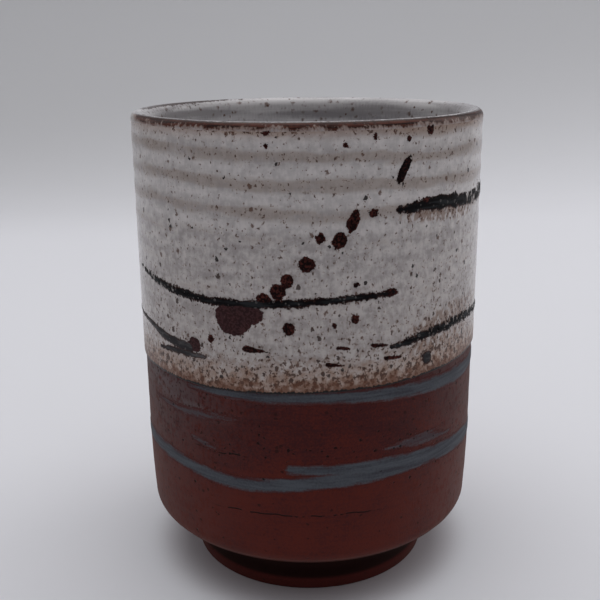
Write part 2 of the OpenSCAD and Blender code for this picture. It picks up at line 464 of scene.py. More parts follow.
def follow_wall(bm, inside):
    """Move what lies outside a radius onto the rings, and the lip onto its sag."""
    for vert in bm.verts:
        angle, radius, height = wall_place(vert.co)
        if radius > inside:
            radius += wall_shift(angle, height) * ease(height, foot_height, foot_height + HEEL_R)
        vert.co = wall_point(angle, radius, height + lip_sag(angle, height))


neck_to_heel = (heel_centre[0] - NECK_R, heel_centre[1] - foot_height)
underside_slope = math.degrees(
    math.atan2(neck_to_heel[1], neck_to_heel[0]) - math.asin(HEEL_R / math.hypot(*neck_to_heel))
)
heel_arc = arc(heel_centre, HEEL_R, underside_slope - 90, 0, HEEL_STEPS)
bare_top = (body_r, DIP_HEIGHT + GLAZE_LAP)
body_profile = (
    line((0, foot_height), (NECK_R, foot_height), BASE_ROW)
    + line((NECK_R, foot_height), heel_arc[0], HEEL_ROW)
    + heel_arc[:-1]
    + line(heel_arc[-1], bare_top, BARE_ROW)
    + line(bare_top, (body_r, shoulder_centre[1]), HIDDEN_ROW)
    + lip(0, 0, LIP_STEPS)
    + line((inner_r, inside_centre[1] - JOIN), (inner_r, well_centre[1]), HIDDEN_ROW)
    + arc(well_centre, WELL_R, 0, -90, WELL_STEPS)
    + line((well_centre[0] - JOIN, floor_top), (0, floor_top), WELL_ROW)
    + [(0, floor_top)]
)
body_bm = spun(body_profile, BODY_EIGHTH, closed=False)
follow_wall(body_bm, inside=inner_r + WALL / 3)
print("clay body rows:", len(body_profile))

# %% [markdown]
# On the left the clay still carries a greyish wash of thin slip, with one broad smear of it near the
# glaze, and on the right it is dulled a little. The grey also spreads thinly down the whole left side
# as painted sheen, and a paler grey down the right edge is painted sheen only. In front the turning
# tool dragged grains out, which left a row of pits, a patch of pits and two scratches. Such soft marks
# have no edge to model, so values at the vertices say where they are, and the material breaks them up
# with noise.

# %% Where the clay is washed, pitted and scratched
HAZE_AND_SHEEN_ANGLE = -66
HAZE_AND_SHEEN_REACH = 32
HAZE_AND_SHEEN_SHARES = (0.25, 0.35, 0.6)
HAZE_AND_SHEEN_HEIGHTS = (27.0, 42.0)
HAZE_AND_SHEEN_TOP_HEIGHTS = (43.0, 49.0)
SMEAR_HEIGHTS = (47.8, 44.6)
SMEAR_ANGLES = (-80, -22)
SMEAR_START = (-130, -90)
SMEAR_STOP = (-36, -18)
SMEAR_HALF = 1.7
DULL_ANGLE = 70
DULL_REACH = 40
DULL_SHARE = 0.6
DULL_DROPS = (-4.5, -1.5)
PAINTED_SHEEN_REACH = 26
PAINTED_SHEEN_SHARE = 0.42
PIT_ROW = (8, 40, 38.6, 1.6)
PIT_PATCH = (40, 16, 33.0, 4.0)
PIT_PATCH_SHARE = 0.5
SCRATCH_HEIGHTS = (24.3, 36.8)
SCRATCH_STARTS = ((-36, -24), (-40, -36))
SCRATCH_STOPS = ((16, 26), (-22, -18))
SCRATCH_NEAR = 2.0


def slant_at(angle):
    """Height of the slanted plane in which the cup was dipped."""
    return DIP_HEIGHT + body_r * math.tan(math.radians(DIP_TILT)) * math.sin(math.radians(angle))


def bell(value, middle, reach):
    """1 in the middle, falling away smoothly."""
    return math.exp(-((value - middle) / reach) ** 2)


def spot(angle, height, place):
    """1 in the middle of a soft spot; place holds its angle, reach, height and half height."""
    return bell(angle, place[0], place[1]) * bell(height, place[2], place[3])


def wash_and_sheen_at(angle, height):
    """How much thin slip the clay carries, with painted sheen at both edges."""
    base, climb, top = HAZE_AND_SHEEN_SHARES
    thick = base + climb * ease(height, *HAZE_AND_SHEEN_HEIGHTS) + top * ease(height, *HAZE_AND_SHEEN_TOP_HEIGHTS)
    # Painted sheen: the grey is spread thinly down the whole left side, where the clay catches light;
    # higher up it is a real slip wash.
    haze_and_sheen = bell(angle, HAZE_AND_SHEEN_ANGLE, HAZE_AND_SHEEN_REACH) * thick
    fall = SMEAR_HEIGHTS[1] - SMEAR_HEIGHTS[0]
    middle = SMEAR_HEIGHTS[0] + fall * ease(angle, *SMEAR_ANGLES)
    smear = bell(height, middle, SMEAR_HALF) * (1 - ease(angle, *SMEAR_STOP)) * ease(angle, *SMEAR_START)
    dull = DULL_SHARE * ease(height - slant_at(angle), *DULL_DROPS) * bell(angle, DULL_ANGLE, DULL_REACH)
    # Painted sheen: a paler grey down the right edge, at all heights, where the clay catches light.
    pale = PAINTED_SHEEN_SHARE * bell(angle, DULL_ANGLE, PAINTED_SHEEN_REACH)
    return max(haze_and_sheen, smear, dull, pale)


wash_and_sheen = body_bm.verts.layers.float.new("wash_and_sheen")
pitted = body_bm.verts.layers.float.new("pitted")
groove = body_bm.verts.layers.float.new("groove")
scratched = body_bm.verts.layers.float.new("scratched")
for vert in body_bm.verts:
    angle, radius, height = wall_place(vert.co)
    vert[wash_and_sheen] = wash_and_sheen_at(angle, height)
    patch = PIT_PATCH_SHARE * spot(angle, height, PIT_PATCH)
    vert[pitted] = max(spot(angle, height, PIT_ROW), patch)
    i = 0 if height < sum(SCRATCH_HEIGHTS) / 2 else 1
    vert[groove] = height - SCRATCH_HEIGHTS[i]
    if abs(vert[groove]) < SCRATCH_NEAR:
        vert[scratched] = ease(angle, *SCRATCH_STARTS[i]) * (1 - ease(angle, *SCRATCH_STOPS[i]))
print("scratches:", len(SCRATCH_HEIGHTS), "marked vertices:", len(body_bm.verts))

# %% The clay finish
CLAY_RED = shade(85, 33, 26)
CLAY_DARK = shade(58, 25, 27)
CLAY_MID = shade(72, 29, 25)
CLAY_PIT = shade(20, 9, 9)
CLAY_PAINTED_SHADE = shade(26, 9, 7)
WASH_AND_SHEEN_GREY = shade(92, 82, 84)
FRECKLE = shade(46, 22, 20)
CLAY_SHINE = 0.07
CLAY_SHEEN = 0.08
CLAY_SHEEN_TINT = (1.0, 0.8, 0.7, 1.0)
CLAY_RELIEF = 0.06
REDDER_BELOW = (24.0, 46.0)
PAINTED_SHADE_FROM = (2.2, 2.9)
PAINTED_SHADE_TO = (11.2, 13.2)
SCRATCH_WANDER = 1.6
SCRATCH_HALF = (0.06, 0.22)


def clay_finish(name, light, dark):
    """Bare fired clay in two tones, with thin grey slip that is partly painted sheen, freckles, pits,
    painted shade under the heel and scratches.
    """
    clay = Finish(name)
    place = clay.place()
    height = clay.height()
    tone = clay.cloud(place, 9.0, detail=3.0)
    turning = clay.cloud(clay.place(across=0.03, upright=1.6), 1.0, detail=4.0, roughness=0.65)
    grain = clay.cloud(place, 0.45)
    low = 1 - clay.step(height, *REDDER_BELOW)
    shift = clay.step(tone * 0.5 + turning * 0.35 + grain * 0.7 + low * 0.2, 0.6, 1.1)
    colour = clay.blend(shift, dark, light)
    cloudy = clay.cloud(clay.place(across=0.8), 2.2, detail=5.0, roughness=0.7)
    upright = clay.cloud(clay.place(upright=0.4), 0.7)
    # This grey is partly a real slip wash and partly painted sheen at the edges of the clay.
    wash_and_sheen = clay.mark("wash_and_sheen")
    wash_and_sheen_cover = wash_and_sheen * clay.step(cloudy * 0.6 + upright * 0.4, 0.37, 0.54)
    colour = clay.blend(wash_and_sheen_cover * 0.8, colour, WASH_AND_SHEEN_GREY)
    rough = clay.stirred(place, 0.8, 0.8)
    sparse = 1 - low * 0.7
    freckles = clay.specks(rough, 1.0, sparse * 0.2 + wash_and_sheen * 0.7, widest=0.46, soft=0.15)
    colour = clay.blend(freckles * 0.85, colour, FRECKLE)
    pits = clay.specks(rough, 1.2, sparse * 0.07 + clay.mark("pitted") * 0.8, widest=0.36, soft=0.1)
    colour = clay.blend(pits * 0.85, colour, CLAY_PIT)
    # Painted shade: near black from just above the flare of the foot up to the bottom of the heel, where
    # the body overhangs.
    painted_shade = clay.step(height, *PAINTED_SHADE_FROM) * (1 - clay.step(height, *PAINTED_SHADE_TO))
    colour = clay.blend(painted_shade * 0.9, colour, CLAY_PAINTED_SHADE)
    wander = clay.cloud(clay.place(upright=0.0), 6.0)
    off_line = abs(clay.mark("groove") + (wander - 0.5) * SCRATCH_WANDER)
    broken = clay.step(clay.cloud(clay.place(upright=0.1), 1.6), 0.38, 0.48)
    scratch = (1 - clay.step(off_line, *SCRATCH_HALF)) * broken * clay.mark("scratched")
    colour = clay.blend(scratch, colour, CLAY_PIT)
    surface = grain * 0.6 + turning * 0.6 - pits * 1.5 - scratch
    return clay.surface(
        Base_Color=colour,
        Roughness=0.6 + grain * 0.2,
        Specular_IOR_Level=CLAY_SHINE,
        Sheen_Weight=CLAY_SHEEN,
        Sheen_Tint=CLAY_SHEEN_TINT,
        Normal=clay.relief(surface, CLAY_RELIEF),
    )


clay_material = clay_finish("red_clay", CLAY_RED, CLAY_DARK)
dress(body_bm, "clay_body", ["thrown_body"], "red_stoneware", clay_material)

# %% [markdown]
# ## The foot ring
# The foot was turned with a narrow neck and a small flare at the table. It is a short ring with a
# profile of its own. The clay is the same as the body's, but it is darker, from being handled. Both
# pieces carry painted shade, a near-black band between the flare and the heel, under the overhang.

# %% Spin the foot ring
FOOT_WIDTH = 5.2
NECK_WIDTH = 3.8
FOOT_BEVEL = 0.5
BEVEL_TURN = 70
BEVEL_STEPS = 5
FOOT_ROW = 0.8
FOOT_EIGHTH = 38
FLARE_STEPS = 24
FLARE_FROM = 0.25
FLARE_TO = 0.7
FOOT_RED = shade(74, 27, 24)
FOOT_DARK = shade(56, 20, 19)

foot_inner = foot_r - FOOT_WIDTH
flare = []
for step in range(FLARE_STEPS + 1):
    share = step / FLARE_STEPS
    flare.append((
        foot_r + (NECK_R - foot_r) * ease(share, FLARE_FROM, FLARE_TO),
        FOOT_BEVEL + (foot_height - FOOT_BEVEL) * share,
    ))
foot_profile = (
    [(foot_inner, FOOT_BEVEL)]
    + arc((foot_inner + FOOT_BEVEL, FOOT_BEVEL), FOOT_BEVEL, 270 - BEVEL_TURN, 270, BEVEL_STEPS)
    + line((foot_inner + 2 * FOOT_BEVEL, 0), (foot_r - 2 * FOOT_BEVEL, 0), FOOT_ROW)
    + arc((foot_r - FOOT_BEVEL, FOOT_BEVEL), FOOT_BEVEL, 270, 270 + BEVEL_TURN, BEVEL_STEPS)
    + flare
    + line((NECK_R - NECK_WIDTH, foot_height), (foot_inner, FOOT_BEVEL), FOOT_ROW)
)
foot_bm = spun(foot_profile, FOOT_EIGHTH)
foot_material = clay_finish("foot_clay", FOOT_RED, FOOT_DARK)
dress(foot_bm, "turned_foot", ["foot_ring"], "red_stoneware", foot_material)

# %% [markdown]
# ## The glaze inside
# The liner was poured in and swirled, so it covers the well, climbs the wall and goes over the crest
# of the lip. The finger rings show through it, and so does iron along the far left of the lip. Nearer
# by on the left is a short gap, where the glaze stayed thick and no iron shows.

# %% Spin the liner
LINER_EIGHTH = 38
LINER_ROW = 0.9
LINER_RING = 0.18
LIP_IRON_ANGLE = -118
LIP_IRON_REACH = 38
RIM_GAP_ANGLE = -79
RIM_GAP_REACH = 10
LIP_IRON_LOW = (101.0, 102.8)
LIP_IRON_TOP = (103.5, 103.8)
LIP_SHADE_FROM = (98.5, 101.0)
LIP_SHADE_UNTIL = (103.4, 103.8)
LIP_TURN = 0.6
LINER_RING_FULL = 40.0
LIP_FINE = 10
WELL_FINE = 20
WELL_BACK = 10
AXIS_GAP = 0.5


def rim_gap(angle):
    """1 where the glaze stayed thick on the lip and no iron shows."""
    return bell(angle, RIM_GAP_ANGLE, RIM_GAP_REACH)


liner_inner = inner_r - coat
liner_profile = (
    lip(coat, RIM_CLIMB, LIP_FINE)
    + line((liner_inner, inside_centre[1] - LINER_ROW), (liner_inner, well_centre[1]), LINER_ROW)
    + arc(well_centre, WELL_R - coat, 0, -90, WELL_FINE)
    + line((well_centre[0] - LINER_ROW, floor_top + coat), (0, floor_top + coat), LINER_ROW)
    + [(0, floor_top + coat), (0, floor_top)]
    + line((AXIS_GAP, floor_top), (well_centre[0], floor_top), HIDDEN_ROW)
    + arc(well_centre, WELL_R, -90, 0, WELL_BACK)
    + line((inner_r, well_centre[1] + JOIN), (inner_r, inside_centre[1]), HIDDEN_ROW)
    + lip(0, RIM_CLIMB, LIP_STEPS)[::-1]
)
liner_bm = spun(liner_profile, LINER_EIGHTH)
lip_iron = liner_bm.verts.layers.float.new("iron")
lip_shade = liner_bm.verts.layers.float.new("thin")
for vert in liner_bm.verts:
    angle, radius, height = wall_place(vert.co)
    near_crest = 0.4 * ease(height, *LIP_IRON_LOW) + 0.6 * ease(height, *LIP_IRON_TOP)
    near_rim = ease(radius, crest[0], crest[0] + LIP_TURN) * (1 - rim_gap(angle))
    vert[lip_iron] = max(near_rim, bell(angle, LIP_IRON_ANGLE, LIP_IRON_REACH) * near_crest)
    # Painted shade: the glaze on the inner lip is darkened towards the crest, where it faces the light
    # above.
    vert[lip_shade] = ease(height, *LIP_SHADE_FROM) * (1 - ease(height, *LIP_SHADE_UNTIL))
    if well_centre[1] < height < inside_centre[1] and radius < inner_r - coat / 2:
        radius -= LINER_RING * ring_ridge(angle, height) * ease(height, well_centre[1], LINER_RING_FULL)
    vert.co = wall_point(angle, radius, height + lip_sag(angle, height))
print("liner rows:", len(liner_profile))

# %% The liner finish
LINER_PALE = shade(204, 201, 203)
LINER_GREY = shade(148, 145, 148)
LINER_PAINTED_SHADE = shade(124, 118, 116)
LINER_SHINE = 0.3
SPECK_GREY = shade(100, 82, 74)
SPECK_BROWN = shade(84, 56, 43)
SPECK_DARK = shade(50, 29, 21)
SPECK_BLACK = shade(30, 20, 19)


def liner_finish():
    """Glossy pale glaze with brown specks, iron along the lip, and painted shade on the inner lip."""
    liner = Finish("liner_glaze")
    place = liner.place()
    pool = liner.cloud(liner.place(across=0.1, upright=1.0), 3.0, detail=4.0)
    runs = liner.cloud(liner.place(upright=0.25), 0.5)
    colour = liner.blend(liner.step(pool * 0.85 + runs * 0.15, 0.38, 0.62), LINER_GREY, LINER_PALE)
    # Painted shade on the inner lip, from the value that the liner carries as thin.
    colour = liner.blend(liner.mark("thin") * 0.3, colour, LINER_PAINTED_SHADE)
    rough = liner.stirred(place, 0.6, 0.6)
    fine = liner.specks(rough, 1.4, 0.5, widest=0.44, soft=0.3)
    colour = liner.blend(fine * 0.5, colour, SPECK_GREY)
    dots = liner.specks(rough, 1.8, 0.4, widest=0.28, soft=0.08)
    colour = liner.blend(dots * 0.9, colour, SPECK_BROWN)
    blots = liner.specks(liner.stirred(place, 1.0, 1.4), 2.0, 0.8, widest=0.42, soft=0.3)
    colour = liner.blend(blots * 0.8, colour, SPECK_BROWN)
    patchy = liner.cloud(place, 0.9, detail=3.0)
    rust = liner.step(liner.mark("iron") + (patchy - 0.5) * 1.6, 0.45, 0.75)
    colour = liner.blend(rust * 0.9, colour, SPECK_DARK)
    return liner.surface(
        Base_Color=colour,
        Roughness=0.12 + pool * 0.1,
        Specular_IOR_Level=LINER_SHINE,
        Normal=liner.relief(pool + fine * 0.3, 0.04),
    )


dress(liner_bm, "poured_liner", ["liner_glaze"], "liner_glaze", liner_finish())

# %% [markdown]
# ## The dipped glaze
# The cup was held by the foot and dipped upside down, slightly askew, so the edge of the glaze is a
# slanted line that wanders a little. The coat is a thin closed shell with a rolled lower edge. Its
# rows are half a millimetre apart, close enough for the rings and for the values that the material
# reads at the vertices.

# %% The line of the dip
DIP_WANDER = 0.22
DIP_WANDER_WAVE = 14.0
DIP_WANDER_SEED = 31.0
DIP_TREMOR = 0.4
DIP_TREMOR_WAVE = 3.0
DIP_TREMOR_SEED = 37.0
DIP_LIFT = 0.5
DIP_LIFT_ANGLE = -92
DIP_LIFT_REACH = 24
DIP_FADE = 9.0


def dip_at(angle):
    """Height of the lower edge of the glaze."""
    wander = DIP_WANDER * round_noise(angle, 0.0, DIP_WANDER_WAVE, DIP_WANDER_SEED)
    tremor = DIP_TREMOR * DIP_WANDER * round_noise(angle, 0.0, DIP_TREMOR_WAVE, DIP_TREMOR_SEED)
    lift = DIP_LIFT * bell(angle, DIP_LIFT_ANGLE, DIP_LIFT_REACH)
    return slant_at(angle) + wander + tremor + lift


print("dip line:", [round(dip_at(angle), 2) for angle in (-69, -46, -19, 0, 25, 56)])

# %% Spin the outer coat
GLAZE_ROW = 0.5
GLAZE_EIGHTH = 55
ROLL = 0.16
ROLL_STEPS = 5
COAT_BITE = 0.02

coat_back = body_r - COAT_BITE
coat_profile = (
    [(coat_back, DIP_HEIGHT)]
    + arc((glaze_r - ROLL, DIP_HEIGHT + ROLL), ROLL, -90, 0, ROLL_STEPS)
    + line((glaze_r, DIP_HEIGHT + 2 * ROLL), (glaze_r, rim_bottom), GLAZE_ROW)
    + [(glaze_r, rim_bottom), (coat_back, rim_bottom)]
    + line((coat_back, rim_bottom - GLAZE_LAP), (coat_back, DIP_HEIGHT + JOIN), HIDDEN_ROW)
)
coat_bm = spun(coat_profile, GLAZE_EIGHTH)
rise_mark = coat_bm.verts.layers.float.new("rise")
thin_mark = coat_bm.verts.layers.float.new("thin")
for vert in coat_bm.verts:
    angle, radius, height = wall_place(vert.co)
    dip = dip_at(angle)
    level = height + (dip - DIP_HEIGHT) * (1 - ease(height, DIP_HEIGHT, DIP_HEIGHT + DIP_FADE))
    vert[rise_mark] = level - dip
    vert[thin_mark] = ring_ridge(angle, level) * ring_strength(level)
    vert.co = wall_point(angle, radius + wall_shift(angle, level), level + lip_sag(angle, level))
print("outer coat rows:", len(coat_profile))

# %% [markdown]
# Iron bled out of the strokes and left brown halos in the glaze, most of them on the right. They are
# soft spots too, so they are values at the vertices. Each has an angle and a reach, a height and a half
# height, and a depth.

# %% Stains in the glaze
STAINS = [
    (33, 9, 85.6, 1.6, 0.6),
    (44, 10, 85.5, 1.8, 0.75),
    (56, 10, 84.9, 1.8, 0.7),
    (36, 8, 62.0, 1.3, 0.7),
    (48, 10, 63.6, 2.0, 1.0),
    (62, 12, 64.0, 2.2, 1.0),
    (46, 16, 58.4, 1.9, 0.9),
    (20, 5, 72.6, 0.7, 0.5),
    (-40, 6, 60.6, 1.2, 0.5),
    (-64, 14, 54.8, 1.5, 0.6),
    (-50, 12, 54.2, 1.2, 0.5),
]


def stain_at(angle, height):
    """How strongly iron has stained the glaze at a place."""
    return sum(depth * spot(angle, height, place) for *place, depth in STAINS)


stain_mark = coat_bm.verts.layers.float.new("stain")
for vert in coat_bm.verts:
    angle, radius, height = wall_place(vert.co)
    vert[stain_mark] = stain_at(angle, height)
print("stains:", len(STAINS))

# %% The speckled glaze finish
GLAZE_PALE = shade(192, 186, 184)
GLAZE_GREY = shade(153, 147, 146)
GLAZE_THICK = shade(216, 212, 212)
GLAZE_THIN = shade(138, 124, 115)
GLAZE_TAN = shade(142, 103, 74)
GLAZE_STAIN = shade(122, 97, 82)
GLAZE_RUST = shade(108, 72, 54)
GLAZE_BURNT = shade(98, 58, 38)
GLAZE_EDGE_SHADE = shade(12, 8, 8)
GLAZE_SHINE = 0.25
LOW_GLAZE = (3.0, 34.0)
MARGIN_RISE = (0.5, 9.0)
MARGIN_WANDER = 14.0
BURNT_RISE = (0.2, 3.4)
BURNT_WANDER = 9.0
EDGE_SHADE_RISE = (0.3, 0.58)
EDGE_SHADE_WANDER = 1.2
LIP_NEAR = (rim_bottom - 2.6, rim_bottom + 0.4)


def glaze_finish():
    """White glaze, thick between the rings, brown and burnt at the dip line, with many kinds of speck,
    and painted shade along its lower edge.
    """
    glaze = Finish("speckled_glaze")
    place = glaze.place()
    height = glaze.height()
    rise = glaze.mark("rise")
    mottle = glaze.cloud(place, 1.6, detail=4.0, roughness=0.6)
    runs = glaze.cloud(glaze.place(upright=0.3), 0.5)
    drift = glaze.cloud(glaze.place(across=0.2, upright=1.0), 2.4, detail=3.0)
    pale = glaze.step(mottle * 0.6 + runs * 0.2 + drift * 0.3, 0.42, 0.68)
    colour = glaze.blend(pale, GLAZE_GREY, GLAZE_PALE)
    thin = glaze.mark("thin")
    thick = glaze.step(height, *RING_FADE) - thin
    colour = glaze.blend(thick * 0.33, colour, GLAZE_THICK)
    bare = glaze.step(thin * 0.6 + drift * 1.4 + mottle * 0.7, 1.25, 1.7)
    colour = glaze.blend(bare * 0.6, colour, GLAZE_THIN)
    cluster = glaze.step(glaze.cloud(place, 5.0), 0.4, 0.62)
    low = 1 - glaze.step(rise, *LOW_GLAZE)
    colour = glaze.blend(low * 0.2, colour, GLAZE_THIN)
    margin = 1 - glaze.step(rise + (mottle - 0.5) * MARGIN_WANDER, *MARGIN_RISE)
    lip_near = glaze.step(height, *LIP_NEAR)
    colour = glaze.blend(lip_near * 0.4, colour, GLAZE_TAN)
    streak = glaze.step(glaze.cloud(glaze.place(upright=0.5), 0.8, detail=3.0), 0.4, 0.6)
    halo = glaze.step(glaze.mark("stain") * (0.35 + 0.9 * streak), 0.2, 0.8)
    colour = glaze.blend(halo * 0.7, colour, GLAZE_STAIN)
    colour = glaze.blend(margin * 0.62, colour, GLAZE_TAN)
    rough = glaze.stirred(glaze.place(upright=0.8), 0.45, 0.9)
    fine = glaze.specks(rough, 0.9, 0.4 + bare * 0.3 + low * 0.3, widest=0.42, soft=0.36)
    colour = glaze.blend(fine * 0.7, colour, SPECK_GREY)
    busy = 0.03 + cluster * 0.2 + bare * 0.25 + low * 0.22
    busy = busy + margin * 0.5 + halo * 0.5 + lip_near * 0.4
    brown = glaze.specks(rough, 1.4, busy, widest=0.4, soft=0.18)
    colour = glaze.blend(brown * 0.85, colour, SPECK_BROWN)
    grit = glaze.specks(rough, 1.3, low * 0.16 + margin + halo * 0.3, widest=0.42, soft=0.08)
    colour = glaze.blend(grit * 0.9, colour, SPECK_DARK)
    pepper = glaze.cloud(glaze.place(upright=0.8), 0.7, roughness=0.6)
    rare = 0.67 - bare * 0.03 - low * 0.05 - margin * 0.08 - halo * 0.08 - lip_near * 0.06
    rust = glaze.step(pepper - rare, -0.05, 0.02)
    colour = glaze.blend(rust * 0.5, colour, GLAZE_RUST)
    coarse = glaze.step(pepper - rare, 0.0, 0.05)
    colour = glaze.blend(coarse * 0.75, colour, SPECK_DARK)
    dots = glaze.specks(rough, 2.4, 0.3, widest=0.2, soft=0.025)
    colour = glaze.blend(dots * 0.95, colour, SPECK_BLACK)
    burnt = 1 - glaze.step(rise + (mottle - 0.5) * BURNT_WANDER, *BURNT_RISE)
    colour = glaze.blend(burnt * 0.75, colour, GLAZE_BURNT)
    # Painted shade: a near-black line along the lowest half millimetre of the glaze, where its rolled
    # edge meets the clay.
    edge = 1 - glaze.step(rise + (runs - 0.5) * EDGE_SHADE_WANDER, *EDGE_SHADE_RISE)
    colour = glaze.blend(edge, colour, GLAZE_EDGE_SHADE)
    surface = mottle * 0.5 + drift * 0.6 - dots * 0.5 - coarse * 0.2
    return glaze.surface(
        Base_Color=colour,
        Roughness=0.14 + mottle * 0.1 + margin * 0.2,
        Specular_IOR_Level=GLAZE_SHINE,
        Normal=glaze.relief(surface, 0.05),
    )


dress(coat_bm, "dipped_glaze", ["outer_glaze"], "speckled_glaze", glaze_finish())

# %% [markdown]
# ## The brown rim
# Glaze runs off a sharp lip, so iron from the clay shows there as a thin, uneven brown line. The
# band is turned like the other coats. Its material breaks up the lower edge of the brown, lets it fade
# through rust into the glaze, and leaves it out at the gap on the left.

# %% Spin the rim band
RIM_EIGHTH = 60
RIM_ROWS = 14
RIM_BACK = 8
RIM_ROW = 0.08
RIM_GAP = 2.4

rim_profile = (
    line((glaze_r, rim_bottom), (glaze_r, shoulder_centre[1]), RIM_ROW)
    + arc(shoulder_centre, LIP_SHOULDER + coat, 0, RIM_CLIMB, RIM_ROWS)
    + arc(shoulder_centre, LIP_SHOULDER, RIM_CLIMB, 0, RIM_BACK)
    + [(body_r, rim_bottom)]
)
rim_bm = spun(rim_profile, RIM_EIGHTH)
climb_mark = rim_bm.verts.layers.float.new("climb")
for vert in rim_bm.verts:
    angle, radius, height = wall_place(vert.co)
    vert[climb_mark] = height - rim_bottom - RIM_GAP * rim_gap(angle)
    vert.co = wall_point(angle, radius + wall_shift(angle, height), height + lip_sag(angle, height))
print("rim rows:", len(rim_profile))

# %% The rim finish
RIM_BROWN = shade(84, 46, 36)
RIM_DARK = shade(40, 20, 16)
RIM_SHINE = 0.12


def rim_finish():
    """Iron brown that breaks through rust into the glaze below it."""
    rim = Finish("iron_rim")
    place = rim.place()
    climb = rim.mark("climb")
    mottle = rim.cloud(place, 0.8, detail=4.0, roughness=0.65)
    lumps = rim.cloud(place, 3.2)
    runs = rim.cloud(rim.place(upright=0.6), 0.45)
    glazed = rim.blend(rim.step(mottle, 0.35, 0.65), GLAZE_GREY, GLAZE_PALE)
    lines = rim.cloud(rim.place(across=0.08, upright=2.4), 0.8, detail=3.0)
    brown = rim.blend(rim.step(lines * 0.6 + mottle * 0.4, 0.44, 0.64), RIM_DARK, RIM_BROWN)
    depth = climb - 0.6 + (lumps - 0.5) * 2.2 + (runs - 0.5) * 1.4 + (mottle - 0.5) * 2.2
    rusty = rim.blend(rim.step(depth, -1.4, 0.0) * 0.7, glazed, GLAZE_RUST)
    colour = rim.blend(rim.step(depth, -0.4, 0.25), rusty, brown)
    return rim.surface(
        Base_Color=colour,
        Roughness=0.22 + mottle * 0.2,
        Specular_IOR_Level=RIM_SHINE,
        Normal=rim.relief(mottle, 0.04),
    )


dress(rim_bm, "brown_rim", ["iron_rim"], "iron_rim", rim_finish())

# %% [markdown]
# ## Brush marks
# A loaded brush lays down a strip that swells and thins, with a grainy edge where it skips. Each mark
# is a flat grid, bent round the wall and a little wider than the paint. Every vertex remembers how far
# inside the edge of the paint it lies. The material adds noise to that distance and leaves the paint
# out where the sum is below zero. Extruding the grid into the wall closes it.

# %% The brush
TIP_SKIN = 0.03
BURY = 0.06
FRINGE = 0.8
MARK_SPACING = 0.3
MARK_ROWS = 10
FEWEST_STEPS = 12
MARK_SHOULDER = 0.5
WIDTH_WOBBLE = 0.1
WOBBLE_RATE = 0.4


def spline(values, share):
    """Smooth curve through equally spaced values."""
    last = len(values) - 1
    i = min(int(share * last), last - 1)
    f = share * last - i
    a, b, c, d = values[max(i - 1, 0)], values[i], values[i + 1], values[min(i + 2, last)]
    return b + f / 2 * (c - a + f * (2 * a - 5 * b + 4 * c - d + f * (3 * (b - c) + d - a)))


def bury(bm, faces):
    """Close a mark by extruding it a little way into the wall below it."""
    made = bmesh.ops.extrude_face_region(bm, geom=faces, use_keep_orig=True)
    for vert in made["geom"]:
        if isinstance(vert, bmesh.types.BMVert):
            angle, radius, height = wall_place(vert.co)
            vert.co = wall_point(angle, radius - BURY, height)


def brush_mark(bm, span, heights, widths, base_r, crown, seed, spacing=MARK_SPACING, dry=(0, 0)):
    """Add one brushed strip to a bmesh, on a wall of the given radius."""
    length = math.radians(span[1] - span[0]) * base_r
    steps = max(FEWEST_STEPS, int((length + 2 * FRINGE) / spacing))
    before = set(bm.faces)
    made = bmesh.ops.create_grid(bm, x_segments=steps, y_segments=MARK_ROWS, size=1.0)
    inner_mark = bm.verts.layers.float["inner"]
    dry_mark = bm.verts.layers.float["dry"]
    for vert in made["verts"]:
        along = (0.5 + 0.5 * vert.co.x) * (length + 2 * FRINGE) - FRINGE
        share = min(max(along / length, 0.0), 1.0)
        half = spline(widths, share) * (0.5 + WIDTH_WOBBLE * ripple(along * WOBBLE_RATE, seed))
        across = vert.co.y * (half + FRINGE)
        short = max(0.0, half - min(along, length - along))
        inner = half - math.hypot(across, short)
        angle = span[0] + math.degrees(along / base_r)
        height = spline(heights, share) + across
        swell = TIP_SKIN + (crown - TIP_SKIN) * ease(inner, 0.0, MARK_SHOULDER)
        vert[inner_mark] = inner
        vert[dry_mark] = spline(dry, share)
        vert.co = wall_point(angle, base_r + wall_shift(angle, height) + swell, height)
    bury(bm, [face for face in bm.faces if face not in before])


def new_marks():
    """An empty bmesh for marks, whose vertices know how deep and how dry the paint is."""
    bm = bmesh.new()
    bm.verts.layers.float.new("inner")
    bm.verts.layers.float.new("dry")
    return bm


def closed_marks(bm):
    """Point the faces of finished marks outwards."""
    bmesh.ops.recalc_face_normals(bm, faces=bm.faces)
    return bm


print("brush ready")

# %% [markdown]
# ## The slip bands
# Two bands of blue-grey slip were brushed on the leather-hard clay while the cup turned. The lower
# one overlaps itself at the front, where the brush came round again a little lower. Thin wisps show
# where the brush was almost dry.

# %% Lay the slip bands
SLIP_CROWN = 0.11
WISP_CROWN = 0.05
UPPER_SEED = 2.0
LOWER_SEED = 8.0
WISP_SEED = 20.0
bare_height = DIP_HEIGHT - HEEL_HEIGHT

UPPER_SPAN = (-41, 180)
UPPER_DROPS = [0.8, 1.0, 1.35, 2.5, 3.5, 3.7, 4.2, 4.6, 4.6, 4.6]
UPPER_WIDTHS = [0.5, 2.0, 2.2, 2.6, 3.2, 2.7, 2.2, 1.8, 1.2, 0.3]
LOWER_SPAN = (-7, 400)
LOWER_SHARES = [0.537, 0.518, 0.48, 0.43, 0.41, 0.41, 0.42, 0.43, 0.44, 0.45, 0.46, 0.42, 0.464, 0.472]
LOWER_WIDTHS = [1.6, 3.2, 3.6, 2.8, 2.6, 2.6, 2.6, 2.6, 2.6, 2.6, 2.6, 2.5, 3, 1.6]
WISP_SPANS = [(-62, -22.5), (-40, -30), (24, 53)]
WISP_SHARES = [[0.786, 0.78, 0.797, 0.811], [0.629, 0.615, 0.6], [0.618, 0.624, 0.583]]
WISP_WIDTHS = [[0.3, 1, 1.1, 0.3], [0.7, 1.2, 0.3], [0.4, 2.2, 0.8]]


